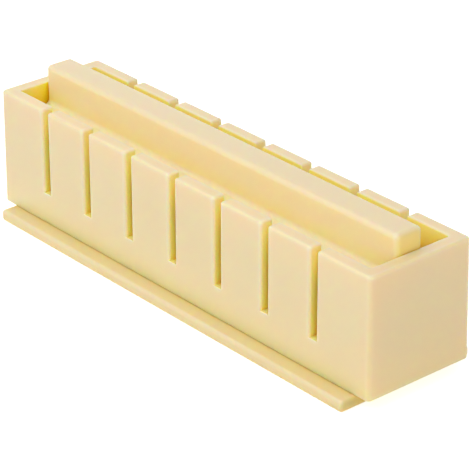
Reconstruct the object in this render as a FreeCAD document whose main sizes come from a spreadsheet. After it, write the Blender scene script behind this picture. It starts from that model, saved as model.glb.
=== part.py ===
"""Rice mould press: a slotted open frame, the base it stands on and the press that slides inside it.

Millimetres, +Z up, X along the mould. The origin is the middle of the base's underside.
Each piece is one moulding: base_board, mold_frame and press_bar.
"""
import FreeCAD, Part
import os

import Sketcher

DRIVING_SIZES = {
    # the frame, a box with no floor and no lid
    "frame_length": "220",
    "frame_width": "50.1",
    "frame_height": "49.3",
    "wall_draft": "0.5",        # how far each outer face leans in between foot and rim
    "side_wall": "5.6",         # long wall, at the rim
    "end_wall": "5.7",          # end wall, at the rim
    "corner_round": "1.8",      # standing corners, outside
    "cavity_round": "0.8",      # standing corners, inside
    "rim_round": "1",           # rim and slot mouths, outside
    "cavity_edge_round": "0.5", # rim and slot mouths, inside
    "foot_round": "0.4",        # the frame's bottom edge
    # the knife slots, down from the rim and through both long walls
    "slot_count": "7",
    "slot_pitch": "26.7",
    "slot_width": "3.7",
    "slot_floor": "13.2",       # above the frame's foot, and level with the base's deck
    # the base
    "base_gap": "0.3",          # deck to cavity wall, all round
    "flange_thickness": "4.85",
    "flange_reach": "6.95",     # past the frame's foot, front and back
    "flange_corner": "1.6",
    "flange_round": "1.5",      # top and bottom
    "deck_corner": "1.7",
    "deck_round": "0.4",
    "base_shell": "3.2",        # deck and walls around the hollow underside
    "rib_thickness": "2.4",
    # the press
    "press_side_gap": "1.6",    # plates to long walls
    "press_end_gap": "0.4",     # plates and bar to end walls
    "plate_thickness": "5",     # the sole that meets the rice, and the guide above it
    "plate_corner": "1",
    "plate_round": "0.5",
    "guide_below_rim": "8.4",   # top of the guide, with the press all the way down
    "bar_width": "12.7",
    "bar_above_rim": "8.05",    # with the press all the way down
    "bar_round": "2.1",         # top edges and standing corners
    "bar_root_round": "2",      # along both plates
}

CAVITY_LENGTH = "(sizes.frame_length - 2 * sizes.wall_draft - 2 * sizes.end_wall)"
CAVITY_WIDTH = "(sizes.frame_width - 2 * sizes.wall_draft - 2 * sizes.side_wall)"
BASE_LENGTH = f"({CAVITY_LENGTH} - 2 * sizes.base_gap)"
DECK_WIDTH = f"({CAVITY_WIDTH} - 2 * sizes.base_gap)"
CORE_HEIGHT = "(sizes.flange_thickness + sizes.slot_floor - sizes.base_shell)"
PRESS_LENGTH = f"({CAVITY_LENGTH} - 2 * sizes.press_end_gap)"
PLATE_WIDTH = f"({CAVITY_WIDTH} - 2 * sizes.press_side_gap)"
GUIDE_HEIGHT = "(sizes.frame_height - sizes.slot_floor - sizes.guide_below_rim)"
BAR_HEIGHT = "(sizes.frame_height - sizes.slot_floor + sizes.bar_above_rim)"
SLOT_ROW = "((sizes.slot_count - 1) * sizes.slot_pitch)"

CLOSE = 0.001                   # how near an edge must lie to count as lying on a plane

doc = FreeCAD.newDocument("rice_mould_press")


def fill_sheet():
    """Put every driving size in the sheet, with its name as the cell's alias."""
    sizes = doc.addObject("Spreadsheet::Sheet", "sizes")
    for row, (name, text) in enumerate(DRIVING_SIZES.items(), start=1):
        sizes.set(f"A{row}", name)
        sizes.set(f"B{row}", text)
        sizes.setAlias(f"B{row}", name)
    doc.recompute()
    return sizes


sheet = fill_sheet()


def value(expression):
    """The number, in mm, that an expression on the sheet comes to now."""
    return float(sheet.evalExpression(expression))


def add_body(name, lift="0"):
    """An empty body that stands the given height above the base's underside."""
    body = doc.addObject("PartDesign::Body", name)
    body.Label = name
    body.setExpression("Placement.Base.z", lift)
    return body


def origin_feature(body, role):
    """One of the body's own origin planes or axes."""
    return next(item for item in body.Origin.OriginFeatures if item.Role == role)


def rectangle(body, name, plane, width, height, offset=("0", "0", "0")):
    """A sketched rectangle, centred on a plane's origin and then moved by the offset."""
    sketch = body.newObject("Sketcher::SketchObject", name)
    sketch.AttachmentSupport = [(origin_feature(body, plane), "")]
    sketch.MapMode = "FlatFace"
    for letter, shift in zip("xyz", offset):
        sketch.setExpression(f"AttachmentOffset.Base.{letter}", shift)
    across, up = value(width) / 2, value(height) / 2
    corners = [FreeCAD.Vector(x, y, 0) for x, y in
               ((-across, -up), (across, -up), (across, up), (-across, up))]
    for here in range(4):
        sketch.addGeometry(Part.LineSegment(corners[here], corners[(here + 1) % 4]), False)
    for here in range(4):
        sketch.addConstraint(Sketcher.Constraint("Coincident", here, 2, (here + 1) % 4, 1))
        sketch.addConstraint(Sketcher.Constraint("Horizontal" if here % 2 == 0 else "Vertical", here))
    sketch.addConstraint(Sketcher.Constraint("Symmetric", 0, 1, 1, 2, -1, 1))
    for label, kind, line, size in (("width", "DistanceX", 0, width), ("height", "DistanceY", 1, height)):
        index = sketch.addConstraint(Sketcher.Constraint(kind, line, 1, line, 2, value(size)))
        sketch.renameConstraint(index, label)
        sketch.setExpression(f"Constraints.{label}", size)
    return sketch


def pad(body, sketch, length):
    """Raise a sketch by a length."""
    feature = body.newObject("PartDesign::Pad", f"{sketch.Name}_pad")
    feature.Profile = sketch
    feature.setExpression("Length", length)
    doc.recompute()
    return feature


def lean_in(body, name, draw, height):
    """Lean the body's standing faces inwards, by a distance over a height, from its foot up."""
    base = body.Tip
    faces = [f"Face{number}" for number, face in enumerate(base.Shape.Faces, start=1)
             if face.BoundBox.ZLength > CLOSE]
    feature = body.newObject("PartDesign::Draft", name)
    feature.Base = (base, faces)
    feature.NeutralPlane = (origin_feature(body, "XY_Plane"), [""])
    feature.setExpression("Angle", f"atan({draw} / {height})")
    doc.recompute()
    if not feature.Shape.Volume < base.Shape.Volume:
        raise RuntimeError(f"{name} leans outwards")
    return feature


def pocket(body, sketch, length=None):
    """Cut a sketch upwards into the body, all the way or by a length, and make sure that it cut."""
    before = body.Shape.Volume
    feature = body.newObject("PartDesign::Pocket", f"{sketch.Name}_pocket")
    feature.Profile = sketch
    feature.Reversed = True
    if length:
        feature.setExpression("Length", length)
    else:
        feature.Type = "ThroughAll"
    doc.recompute()
    if not feature.Shape.Volume < before:
        raise RuntimeError(f"{feature.Name} cut nothing")
    return feature


def row_along_x(body, feature, length, count):
    """Repeat a feature along X. The row counts as the body's result."""
    pattern = body.newObject("PartDesign::LinearPattern", f"{feature.Name}_row")
    pattern.Originals = [feature]
    pattern.Direction = (origin_feature(body, "X_Axis"), [""])
    pattern.setExpression("Length", length)
    pattern.setExpression("Occurrences", count)
    body.Tip = pattern
    doc.recompute()
    return pattern


def fillet(body, name, radius, chosen):
    """Round the edges of the body's last feature that a test chooses."""
    base = body.Tip
    edges = [f"Edge{number}" for number, edge in enumerate(base.Shape.Edges, start=1) if chosen(edge)]
    if not edges:
        raise RuntimeError(f"{name} found no edge")
    feature = body.newObject("PartDesign::Fillet", name)
    feature.Base = (base, edges)
    feature.setExpression("Radius", radius)
    doc.recompute()
    return feature


def at(number, target):
    return abs(number - target) < CLOSE


def is_standing(edge):
    """Runs up and down, give or take the draft."""
    box = edge.BoundBox
    return box.ZLength > 2 * max(box.XLength, box.YLength)


def is_level_at(edge, height):
    return at(edge.BoundBox.ZMin, height) and at(edge.BoundBox.ZMax, height)


def make_frame():
    """An open box with leaning outer faces, plumb inside, and slots down through both long walls."""
    body = add_body("mold_frame", "sizes.flange_thickness")
    outline = rectangle(body, "frame_outline", "XY_Plane", "sizes.frame_length", "sizes.frame_width")
    pad(body, outline, "sizes.frame_height")
    lean_in(body, "frame_draft", "sizes.wall_draft", "sizes.frame_height")
    fillet(body, "frame_corners", "sizes.corner_round", is_standing)

    cavity = rectangle(body, "cavity", "XY_Plane", CAVITY_LENGTH, CAVITY_WIDTH)
    pocket(body, cavity)
    half_length, half_width = value(CAVITY_LENGTH) / 2, value(CAVITY_WIDTH) / 2

    def in_cavity_corner(edge):
        middle = edge.BoundBox.Center
        return is_standing(edge) and at(abs(middle.x), half_length) and at(abs(middle.y), half_width)

    fillet(body, "cavity_corners", "sizes.cavity_round", in_cavity_corner)

    slot = rectangle(body, "slot", "XY_Plane", "sizes.slot_width", "2 * sizes.frame_width",
                     offset=(f"-{SLOT_ROW} / 2", "0", "sizes.slot_floor"))
    row_along_x(body, pocket(body, slot), SLOT_ROW, "sizes.slot_count")

    rim = value("sizes.frame_height")
    slot_floor = value("sizes.slot_floor")

    def is_inside(edge):
        middle = edge.BoundBox.Center
        return abs(middle.x) < half_length + CLOSE and abs(middle.y) < half_width + CLOSE

    def on_rim_or_slot_mouth(edge):
        """Rim edges outside the cavity, edges across the wall at a slot, and slot edges outside."""
        standing_at_slot = is_standing(edge) and at(edge.BoundBox.ZMin, slot_floor)
        return (is_level_at(edge, rim) or standing_at_slot) and not is_inside(edge)

    fillet(body, "rim_rounds", "sizes.rim_round", on_rim_or_slot_mouth)
    fillet(body, "cavity_rounds", "sizes.cavity_edge_round",
           lambda edge: is_level_at(edge, rim) and is_inside(edge))

    def on_foot(edge):
        middle = edge.BoundBox.Center
        return is_level_at(edge, 0) and (abs(middle.x) > half_length + 1 or abs(middle.y) > half_width + 1)

    fillet(body, "foot_rounds", "sizes.foot_round", on_foot)
    return body


def make_base():
    """A flange wider than the frame, with a deck that stands up inside the frame's foot."""
    body = add_body("base_board")
    flange_width = "(sizes.frame_width + 2 * sizes.flange_reach)"
    flange = rectangle(body, "flange", "XY_Plane", BASE_LENGTH, flange_width)
    pad(body, flange, "sizes.flange_thickness")
    fillet(body, "flange_corners", "sizes.flange_corner", is_standing)
    flange_top = value("sizes.flange_thickness")
    fillet(body, "flange_rounds", "sizes.flange_round",
           lambda edge: is_level_at(edge, flange_top) or is_level_at(edge, 0))

    deck = rectangle(body, "deck", "XY_Plane", BASE_LENGTH, DECK_WIDTH)
    pad(body, deck, "sizes.flange_thickness + sizes.slot_floor")
    deck_top = flange_top + value("sizes.slot_floor")
    fillet(body, "deck_corners", "sizes.deck_corner",
           lambda edge: is_standing(edge) and at(edge.BoundBox.ZMax, deck_top))
    fillet(body, "deck_rounds", "sizes.deck_round", lambda edge: is_level_at(edge, deck_top))

    core = rectangle(body, "core", "XY_Plane", f"{BASE_LENGTH} - 2 * sizes.base_shell",
                     f"{DECK_WIDTH} - 2 * sizes.base_shell")
    pocket(body, core, CORE_HEIGHT)
    rib = rectangle(body, "rib", "XY_Plane", "sizes.rib_thickness", DECK_WIDTH,
                    offset=(f"-{SLOT_ROW} / 2", "0", "0"))
    row_along_x(body, pad(body, rib, CORE_HEIGHT), SLOT_ROW, "sizes.slot_count")
    return body


def make_press():
    """Two plates one above the other, and a bar along them that stands out of the frame."""
    body = add_body("press_bar", "sizes.flange_thickness + sizes.slot_floor")
    sole = rectangle(body, "sole", "XY_Plane", PRESS_LENGTH, PLATE_WIDTH)
    pad(body, sole, "sizes.plate_thickness")
    guide = rectangle(body, "guide", "XY_Plane", PRESS_LENGTH, PLATE_WIDTH,
                      offset=("0", "0", f"{GUIDE_HEIGHT} - sizes.plate_thickness"))
    bar = rectangle(body, "bar", "XY_Plane", PRESS_LENGTH, "sizes.bar_width")
    pad(body, bar, BAR_HEIGHT)
    pad(body, guide, "sizes.plate_thickness")
    plate_side = value(PLATE_WIDTH) / 2
    bar_side = value("sizes.bar_width") / 2
    bar_top = value(BAR_HEIGHT)

    def is_lengthwise(edge, side):
        box = edge.BoundBox
        return at(abs(box.Center.y), side) and box.YLength < CLOSE and box.ZLength < CLOSE

    fillet(body, "bar_root_rounds", "sizes.bar_root_round",
           lambda edge: is_lengthwise(edge, bar_side) and edge.BoundBox.ZMax < bar_top - CLOSE)
    fillet(body, "bar_rounds", "sizes.bar_round",
           lambda edge: is_level_at(edge, bar_top) or is_standing(edge) and at(edge.BoundBox.ZMax, bar_top))
    fillet(body, "plate_corners", "sizes.plate_corner",
           lambda edge: is_standing(edge) and at(abs(edge.BoundBox.Center.y), plate_side))
    fillet(body, "plate_rounds", "sizes.plate_round", lambda edge: is_lengthwise(edge, plate_side))
    return body


def check(bodies):
    """Stop before anything is written if a feature failed or a piece isn't one whole solid."""
    for item in doc.Objects:
        if {"Invalid", "Error"} & set(item.State):
            raise RuntimeError(f"{item.Name} failed: {item.State}")
    for body in bodies:
        if body.Shape.isNull() or not body.Shape.isValid():
            raise RuntimeError(f"{body.Label} has no valid shape")


pieces = [make_base(), make_frame(), make_press()]
doc.recompute()
check(pieces)

os.makedirs("parts", exist_ok=True)
for piece in pieces:
    piece.Shape.exportStep(f"parts/{piece.Label}.step")
    bounds = piece.Shape.BoundBox
    print(f"{piece.Label}: {len(piece.Shape.Solids)} solid, {piece.Shape.Volume / 1000:.1f} cm3,"
          f" {bounds.XLength:.2f} x {bounds.YLength:.2f} x {bounds.ZLength:.2f}, z from {bounds.ZMin:.2f}")
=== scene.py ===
# %% [markdown]
# # A rice mould press, dressed for its picture
# Three cream plastic mouldings stand one inside the other: a base, an open frame with slots down
# its walls, and a press with a bar to push on. The solids come ready made and at their real size.
# This file gives them their plastic, sets them on a pale floor, lights them softly and points a
# camera at them.

# %% Load the three mouldings
import math

import bpy
from mathutils import Matrix, Vector

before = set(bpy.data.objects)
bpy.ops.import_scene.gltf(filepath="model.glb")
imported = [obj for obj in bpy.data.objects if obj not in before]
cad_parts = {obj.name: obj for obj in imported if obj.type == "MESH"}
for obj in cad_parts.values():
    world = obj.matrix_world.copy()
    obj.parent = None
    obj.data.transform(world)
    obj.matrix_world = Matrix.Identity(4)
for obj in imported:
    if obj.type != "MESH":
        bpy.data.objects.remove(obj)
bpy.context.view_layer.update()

print("mouldings:", sorted(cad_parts))

# %% [markdown]
# ## The camera
# The mould is seen from its right front, from a little above, through a long lens that hardly
# narrows the far end. The camera is placed by its bearing and height angle round an aim point
# near the middle of the mould, so each number says one thing. The small roll tilts the picture by
# half a degree, as a camera held by hand does.

# %% Camera
LENS = 0.18905                          # focal length, behind a sensor 36 mm wide
BEARING = math.radians(50.0)            # from straight in front, round to the right end
HEIGHT_ANGLE = math.radians(26.6)
ROLL = math.radians(-0.52)
AIM = Vector((0.00583, 0.00166, 0.02322))
DISTANCE = 0.95024

camera_data = bpy.data.cameras.new("camera")
camera_data.sensor_width = 36.0
camera_data.lens = LENS * 1000
camera = bpy.data.objects.new("camera", camera_data)
bpy.context.scene.collection.objects.link(camera)
towards_camera = Vector((math.sin(BEARING) * math.cos(HEIGHT_ANGLE),
                         -math.cos(BEARING) * math.cos(HEIGHT_ANGLE),
                         math.sin(HEIGHT_ANGLE)))
camera.matrix_world = (Matrix.Translation(AIM + towards_camera * DISTANCE)
                       @ towards_camera.to_track_quat("Z", "Y").to_matrix().to_4x4()
                       @ Matrix.Rotation(ROLL, 4, "Z"))
bpy.context.scene.camera = camera
print("camera at", [round(c, 3) for c in camera.matrix_world.translation])

# %% [markdown]
# ## Small tools for materials
# A material is a set of nodes joined by links, and so is the world's light. These functions empty
# a set, add a node with its inputs set or joined, and tell the rays that come straight from the
# camera, or by way of a shiny surface, from the rest. With them, each finish below reads from
# where a point is to what it looks like.

# %% Node helpers
WHITE = (1, 1, 1, 1)


def new_tree(owner):
    """Empty the node tree of a material or a world, and return it."""
    owner.use_nodes = True
    owner.node_tree.nodes.clear()
    return owner.node_tree


def add(tree, kind, inputs=None, **settings):
    """Add a node, with settings as its properties. An input is a number, a colour or a socket."""
    node = tree.nodes.new(kind)
    for name, setting in settings.items():
        setattr(node, name, setting)
    for name, source in (inputs or {}).items():
        socket = node.inputs[name]
        if isinstance(source, bpy.types.NodeSocket):
            tree.links.new(source, socket)
        else:
            socket.default_value = source
    return node


def maths(tree, operation, *inputs):
    """What a Math node makes of its inputs."""
    return add(tree, "ShaderNodeMath", dict(enumerate(inputs)), operation=operation).outputs[0]


def seen_directly(tree):
    """1 for a ray from the camera, or one that a shiny or clear surface sends on, else 0."""
    ray = add(tree, "ShaderNodeLightPath").outputs
    seen_or_mirrored = maths(tree, "MAXIMUM", ray["Is Camera Ray"], ray["Is Glossy Ray"])
    return maths(tree, "MAXIMUM", seen_or_mirrored, ray["Is Transmission Ray"])


# %% [markdown]
# ## The room
# The mould stands as in a studio's white tent: light comes from all round, and everything behind
# it is plain white. The world gives the even part of that light. What the camera and the
# plastic's gloss see of it is white, at strength 1, while the light that it sheds is set on its
# own, so that the white never comes from too much light.

# %% World
AMBIENT = 0.555

world = bpy.data.worlds.new("white_tent")
bpy.context.scene.world = world
tree = new_tree(world)
shed = add(tree, "ShaderNodeBackground", {"Color": WHITE, "Strength": AMBIENT})
seen = add(tree, "ShaderNodeBackground", {"Color": WHITE, "Strength": 1.0})
both = add(tree, "ShaderNodeMixShader",
           {0: seen_directly(tree), 1: shed.outputs[0], 2: seen.outputs[0]})
add(tree, "ShaderNodeOutputWorld", {"Surface": both.outputs[0]})
print("world: sheds", AMBIENT, "and looks white")

# %% [markdown]
# ## The lamps
# Three broad lamps do the rest. The key lamp hangs high in front and a little to the left, over
# the long front wall and into the cavity. The fill lamp stands low on the right, so the right end
# isn't dark. The sheen lamp is weak and stands low behind on the left, where the tops mirror it as
# a pale sheen. Because all three are broad, no shadow has a hard edge. An area lamp shines along
# its own -Z, so its back is turned away from what it aims at.

# %% Lamps
LAMP_TARGET = Vector((0, 0, 0.03))      # half way up the mould


def hang_lamp(name, power, across, place):
    """A square area lamp at a place, turned so that it shines at the mould."""
    data = bpy.data.lights.new(name, "AREA")
    data.energy = power
    data.size = across
    lamp = bpy.data.objects.new(name, data)
    bpy.context.scene.collection.objects.link(lamp)
    back = Vector(place) - LAMP_TARGET
    lamp.matrix_world = (Matrix.Translation(place)
                         @ back.to_track_quat("Z", "Y").to_matrix().to_4x4())
    print(name, power, "W,", round(back.length, 2), "m away")


hang_lamp("key_lamp", power=4.7, across=0.7, place=(-0.296, -0.557, 0.931))
hang_lamp("fill_lamp", power=3.0, across=0.6, place=(1.004, -0.580, 0.341))
hang_lamp("sheen_lamp", power=0.75, across=0.7, place=(-0.833, 0.699, 0.537))

# %% [markdown]
# ## The floor
# The part stands on a white sheet, a wide plane. It takes the part's shadow as any white sheet
# does. For the camera it also glows a little, so that it reaches full white where nothing shades
# it, and only the soft shadow close to the base stays.

# %% Floor
FLOOR_HALF_WIDTH = 3.0
FLOOR_GLOW = 0.7
PAPER = (0.88, 0.88, 0.88, 1)

half = FLOOR_HALF_WIDTH
corners = [(-half, -half, 0), (half, -half, 0), (half, half, 0), (-half, half, 0)]
floor_mesh = bpy.data.meshes.new("floor")
floor_mesh.from_pydata(corners, [], [(0, 1, 2, 3)])
floor = bpy.data.objects.new("floor", floor_mesh)
bpy.context.scene.collection.objects.link(floor)

white_sheet = bpy.data.materials.new("white_sheet")
tree = new_tree(white_sheet)
paper = add(tree, "ShaderNodeBsdfDiffuse", {"Color": PAPER})
glow = add(tree, "ShaderNodeEmission",
           {"Color": WHITE, "Strength": maths(tree, "MULTIPLY", seen_directly(tree), FLOOR_GLOW)})
lit = add(tree, "ShaderNodeAddShader", {0: paper.outputs[0], 1: glow.outputs[0]})
add(tree, "ShaderNodeOutputMaterial", {"Surface": lit.outputs[0]})
floor_mesh.materials.append(white_sheet)
print("floor:", 2 * FLOOR_HALF_WIDTH, "m square")

# %% [markdown]
# ## The plastic
# The mould is cream plastic that lets some light through. Light goes in, wanders a few
# millimetres and comes out yellower, since the plastic takes blue first, green next and red last.
# Subsurface scattering does this: its radius says how far each colour wanders, and its walk is
# random inside the solid.
#
# Where the plastic faces itself, in the slots and beside the bar, light is thrown from wall to
# wall and goes through it many times, so those places glow gold while the rims look pale. A longer
# radius would show this too, but it makes the whole mould waxy. So that gold is painted light, and
# the colour follows how open a place is. An Ambient Occlusion node says how much of the nearest 30
# mm is free, and a Color Ramp turns that into painted gold where it is shut in, straw between, and
# cream where it is open.

# %% Colour by openness
AROUND = 0.03                           # how far a place looks about it for more plastic
LOOKS = 8                               # in how many directions it looks, for each sample
COLOR_A, COLOR_B, MIXED = 6, 7, 2       # a Mix node's two colours, and what comes out


def free_share(tree, reach, inside=False):
    """How much is free within a reach of a place: 1 is all, 0 is none."""
    return add(tree, "ShaderNodeAmbientOcclusion", {"Distance": reach},
               samples=LOOKS, inside=inside).outputs["AO"]


def spread(tree, value, start, end, to_start=0.0, to_end=1.0):
    """0 where a value is at start or before it, 1 at end or after it, or two other numbers."""
    return add(tree, "ShaderNodeMapRange", {"Value": value, "From Min": start, "From Max": end,
                                            "To Min": to_start, "To Max": to_end}).outputs[0]


def mix(tree, factor, color, other, how="MIX"):
    """A colour that is replaced or multiplied by another one, as far as the factor says."""
    node = add(tree, "ShaderNodeMix", {"Factor": factor, COLOR_A: color},
               data_type="RGBA", blend_type=how)
    node.inputs[COLOR_B].default_value = (*other, 1)
    return node.outputs[MIXED]


def color_with_painted_recess_glow(tree, free, stops_with_painted_glow):
    """The colour for how free a place is, painted gold where it is shut in. A stop is a share that
    is free, and its colour.
    """
    ramp = add(tree, "ShaderNodeValToRGB", {"Fac": free})
    elements = ramp.color_ramp.elements
    (low, low_color), *middle, (high, high_color) = stops_with_painted_glow
    elements[0].position, elements[1].position = low, high
    elements[0].color, elements[1].color = (*low_color, 1), (*high_color, 1)
    for share, color in middle:
        elements.new(share).color = (*color, 1)
    return ramp.outputs["Color"]


# %% [markdown]
# ## Edges, ends and corners
# Three places differ from the plain walls. On a round edge the plastic is thin, and a painted
# highlight makes it paler. The Ambient Occlusion node finds edges too when it looks inside: where
# the far skin is within 2.5 mm, the place is near an edge. It counts only as far as the edge
# stands free.
#
# Light that enters along a moulding's whole length runs on inside it, and comes out deeper at its
# The end faces take a tint of painted shade, which fades out within a millimetre. The two end
# walls of the cavity get painted gold shade where they are shut in. The distance along the
# moulding finds both.
# The corner between the frame's foot and the flange is painted gold shade, where the two parts
# shade each other. A third look, over 4 mm, finds that corner, and it counts only low down, so
# that the slots keep the gold of the ramp.

# %% Edges, ends and corners
EDGE_REACH = 0.0025
CORNER_REACH = 0.004
END_FADE = 0.001
CAVITY_HALF_LENGTH = 0.1038
# Painted gold shade for the cavity's shut-in end walls.
CAVITY_END_PAINTED_GOLD = (1.0, 0.99, 0.1)
CORNER_TOP, CORNER_FULL = 0.012, 0.009  # heights between which the corner's gold sets in


def with_painted_edge_highlights(tree, color, free, edge_highlight_color):
    """The colour, with a painted highlight where an edge is thin and stands free."""
    thin = spread(tree, free_share(tree, EDGE_REACH, inside=True), 0.95, 0.35)
    edge_stands_free = spread(tree, free, 0.4, 0.8)
    # Painted highlight along thin edges that stand free.
    return mix(tree, maths(tree, "MULTIPLY", thin, edge_stands_free), color, edge_highlight_color)


def at_ends(tree, place, half_length):
    """1 from the half length outwards, and 0 from a millimetre further in."""
    along = add(tree, "ShaderNodeSeparateXYZ", {"Vector": place}).outputs["X"]
    return spread(tree, maths(tree, "ABSOLUTE", along), half_length - END_FADE, half_length)


def with_painted_end_shade(tree, color, free, place, half_length, end_shade_tint):
    """The colour, with painted shade: a tint on the end faces, and gold on the cavity's end walls.
    """
    color = mix(tree, at_ends(tree, place, half_length), color, end_shade_tint, "MULTIPLY")
    shut_in = spread(tree, free, 0.45, 0.25)
    deep = maths(tree, "MULTIPLY", shut_in, at_ends(tree, place, CAVITY_HALF_LENGTH))
    return mix(tree, deep, color, CAVITY_END_PAINTED_GOLD, "MULTIPLY")


def with_painted_corner_shade(tree, color, place, corner_shade_color):
    """The colour, with painted gold shade in the corner between the frame's foot and the flange.
    """
    crevice = spread(tree, free_share(tree, CORNER_REACH), 0.85, 0.5)
    height = add(tree, "ShaderNodeSeparateXYZ", {"Vector": place}).outputs["Z"]
    low = spread(tree, height, CORNER_TOP, CORNER_FULL)
    return mix(tree, maths(tree, "MULTIPLY", crevice, low), color, corner_shade_color)


# %% [markdown]
# ## The finish
# A moulding is never quite even. Its tone drifts along its length, its faces swell by hundredths
# of a millimetre, and the mould's skin leaves a grain like fine sand. Three Noise nodes of
# falling size give these: the first colours the plastic, the other two raise it, and the second
# also changes its gloss.

# %% Tone and skin
CLOUD_SIZE = {"Scale": 28.0, "Detail": 3.0, "Roughness": 0.55}      # about 36 mm
SWELL_SIZE = {"Scale": 160.0, "Detail": 2.0}                        # about 6 mm
GRAIN_SIZE = {"Scale": 2400.0, "Detail": 3.0, "Roughness": 0.6}     # about 0.4 mm
CLOUD_STRETCH = (0.45, 1, 1)            # the clouds are longer along the mould
CLOUD_TINT = (0.99, 0.975, 0.94)
SWELL_OVER_GRAIN = 2.5                  # the swell is this much higher than the grain
BUMP_STRENGTH, BUMP_HEIGHT = 0.35, 0.00004
SMOOTHEST, ROUGHEST = 0.33, 0.41


def clouds(tree, place, seed):
    """The drift of tone along a moulding, from 0 to 1."""
    along = add(tree, "ShaderNodeMapping",
                {"Vector": place, "Location": (seed, 0, 0), "Scale": CLOUD_STRETCH})
    cloud = add(tree, "ShaderNodeTexNoise", {"Vector": along.outputs[0], **CLOUD_SIZE})
    return spread(tree, cloud.outputs["Fac"], 0.3, 0.7)


def skin(tree, place):
    """The normal and the roughness of a moulded skin."""
    grain = add(tree, "ShaderNodeTexNoise", {"Vector": place, **GRAIN_SIZE}).outputs["Fac"]
    swell = add(tree, "ShaderNodeTexNoise", {"Vector": place, **SWELL_SIZE}).outputs["Fac"]
    heights = maths(tree, "MULTIPLY_ADD", swell, SWELL_OVER_GRAIN, grain)
    bump = add(tree, "ShaderNodeBump",
               {"Height": heights, "Strength": BUMP_STRENGTH, "Distance": BUMP_HEIGHT})
    return bump.outputs[0], spread(tree, swell, 0.3, 0.7, SMOOTHEST, ROUGHEST)


# %% [markdown]
# ## One plastic for three mouldings
# The steps above follow each other: colour by openness with its painted gold glow, clouds over it,
# then the painted highlights on edges and the painted shade on ends and the corner. The Principled
# shader takes the result, with the index of refraction of such plastic and a gloss a little above
# the usual.

# %% Plastic
PLASTIC_IOR = 1.49
GLOSS_LEVEL = 0.75
WANDER = (1.0, 0.5, 0.1)                # how far red, green and blue go, as shares of the next
WANDER_SCALE = 0.006


def cream_plastic(name, stops_with_painted_glow, edge_highlight_color, corner_shade_color, half_length, end_shade_tint, seed):
    """Satin moulded plastic: cloudy colour with painted glow, highlights and shade, a fine grain,
    and light that wanders inside.
    """
    material = bpy.data.materials.new(name)
    tree = new_tree(material)
    place = add(tree, "ShaderNodeTexCoord").outputs["Object"]
    free = free_share(tree, AROUND)
    color = color_with_painted_recess_glow(tree, free, stops_with_painted_glow)
    color = mix(tree, clouds(tree, place, seed), color, CLOUD_TINT, "MULTIPLY")
    color = with_painted_edge_highlights(tree, color, free, edge_highlight_color)
    color = with_painted_end_shade(tree, color, free, place, half_length, end_shade_tint)
    color = with_painted_corner_shade(tree, color, place, corner_shade_color)
    normal, roughness = skin(tree, place)
    shader = add(tree, "ShaderNodeBsdfPrincipled", {
        "Base Color": color, "Roughness": roughness, "Normal": normal,
        "IOR": PLASTIC_IOR, "Specular IOR Level": GLOSS_LEVEL, "Subsurface Weight": 1.0,
        "Subsurface Radius": WANDER, "Subsurface Scale": WANDER_SCALE})
    add(tree, "ShaderNodeOutputMaterial", {"Surface": shader.outputs[0]})
    print(name, "has", len(tree.nodes), "nodes")
    return material


def dress(node, material):
    """Give every material slot of a moulding the same plastic."""
    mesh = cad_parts[node].data
    mesh.materials.clear()
    mesh.materials.append(material)
    print(node, "wears", material.name)


# %% [markdown]
# ## Who wears what
# The frame and the press are the same cream when they stand open. Where they are shut in, their
# ramps paint gold glow, paler on the press. The base's colours are a little darker and duller:
# that is painted shade, because the frame stands over it. The seeds keep the clouds of one
# moulding from being those of the next.

# %% Dress the mouldings
# Each ramp is the plastic's own cream where it is open, and painted gold glow where it is shut in.
FRAME_COLORS_AND_PAINTED_GLOW = [(0.05, (1.0, 0.62, 0.10)), (0.22, (1.0, 0.86, 0.20)),
                (0.32, (1.0, 0.85, 0.265)), (0.45, (1.0, 0.80, 0.38)),
                (0.65, (0.885, 0.715, 0.40)), (0.95, (0.815, 0.677, 0.393))]
PRESS_COLORS_AND_PAINTED_GLOW = [(0.05, (1.0, 0.66, 0.14)), (0.22, (1.0, 0.83, 0.37)),
                (0.35, (1.0, 0.825, 0.44)), (0.5, (1.0, 0.815, 0.54)),
                (0.66, (0.97, 0.815, 0.475)), (0.95, (0.815, 0.69, 0.42))]
# The base's ramp is darker throughout: painted shade from the frame above it.
BASE_COLORS_AND_PAINTED_SHADE = [(0.05, (0.92, 0.54, 0.12)), (0.25, (0.82, 0.66, 0.25)),
               (0.5, (0.775, 0.66, 0.33)), (0.65, (0.76, 0.66, 0.37)),
               (0.95, (0.72, 0.635, 0.42))]
# Painted shade colours for the corner at the frame's foot.
PAINTED_CORNER_GOLD = (1.0, 0.68, 0.24)
PAINTED_BASE_CORNER_GOLD = (0.82, 0.60, 0.21)

# Edge colours are painted highlights; end tints and corner colours are painted shade.
dress("mold_frame", cream_plastic(
    "frame_cream", FRAME_COLORS_AND_PAINTED_GLOW, edge_highlight_color=(0.82, 0.765, 0.63), corner_shade_color=PAINTED_CORNER_GOLD,
    half_length=0.1094, end_shade_tint=(1.0, 0.96, 0.90), seed=0.0))
dress("press_bar", cream_plastic(
    "press_cream", PRESS_COLORS_AND_PAINTED_GLOW, edge_highlight_color=(0.82, 0.77, 0.74), corner_shade_color=PAINTED_CORNER_GOLD,
    half_length=0.1034, end_shade_tint=(0.99, 0.93, 0.50), seed=3.7))
dress("base_board", cream_plastic(
    "base_cream", BASE_COLORS_AND_PAINTED_SHADE, edge_highlight_color=(0.72, 0.66, 0.50), corner_shade_color=PAINTED_BASE_CORNER_GOLD,
    half_length=0.1035, end_shade_tint=(0.80, 0.82, 0.59), seed=8.2))

# %% [markdown]
# ## Colour handling
# The Standard view shows each colour as it is, with no film curve over it.

# %% View
bpy.context.scene.view_settings.view_transform = "Standard"
print("view:", bpy.context.scene.view_settings.view_transform)
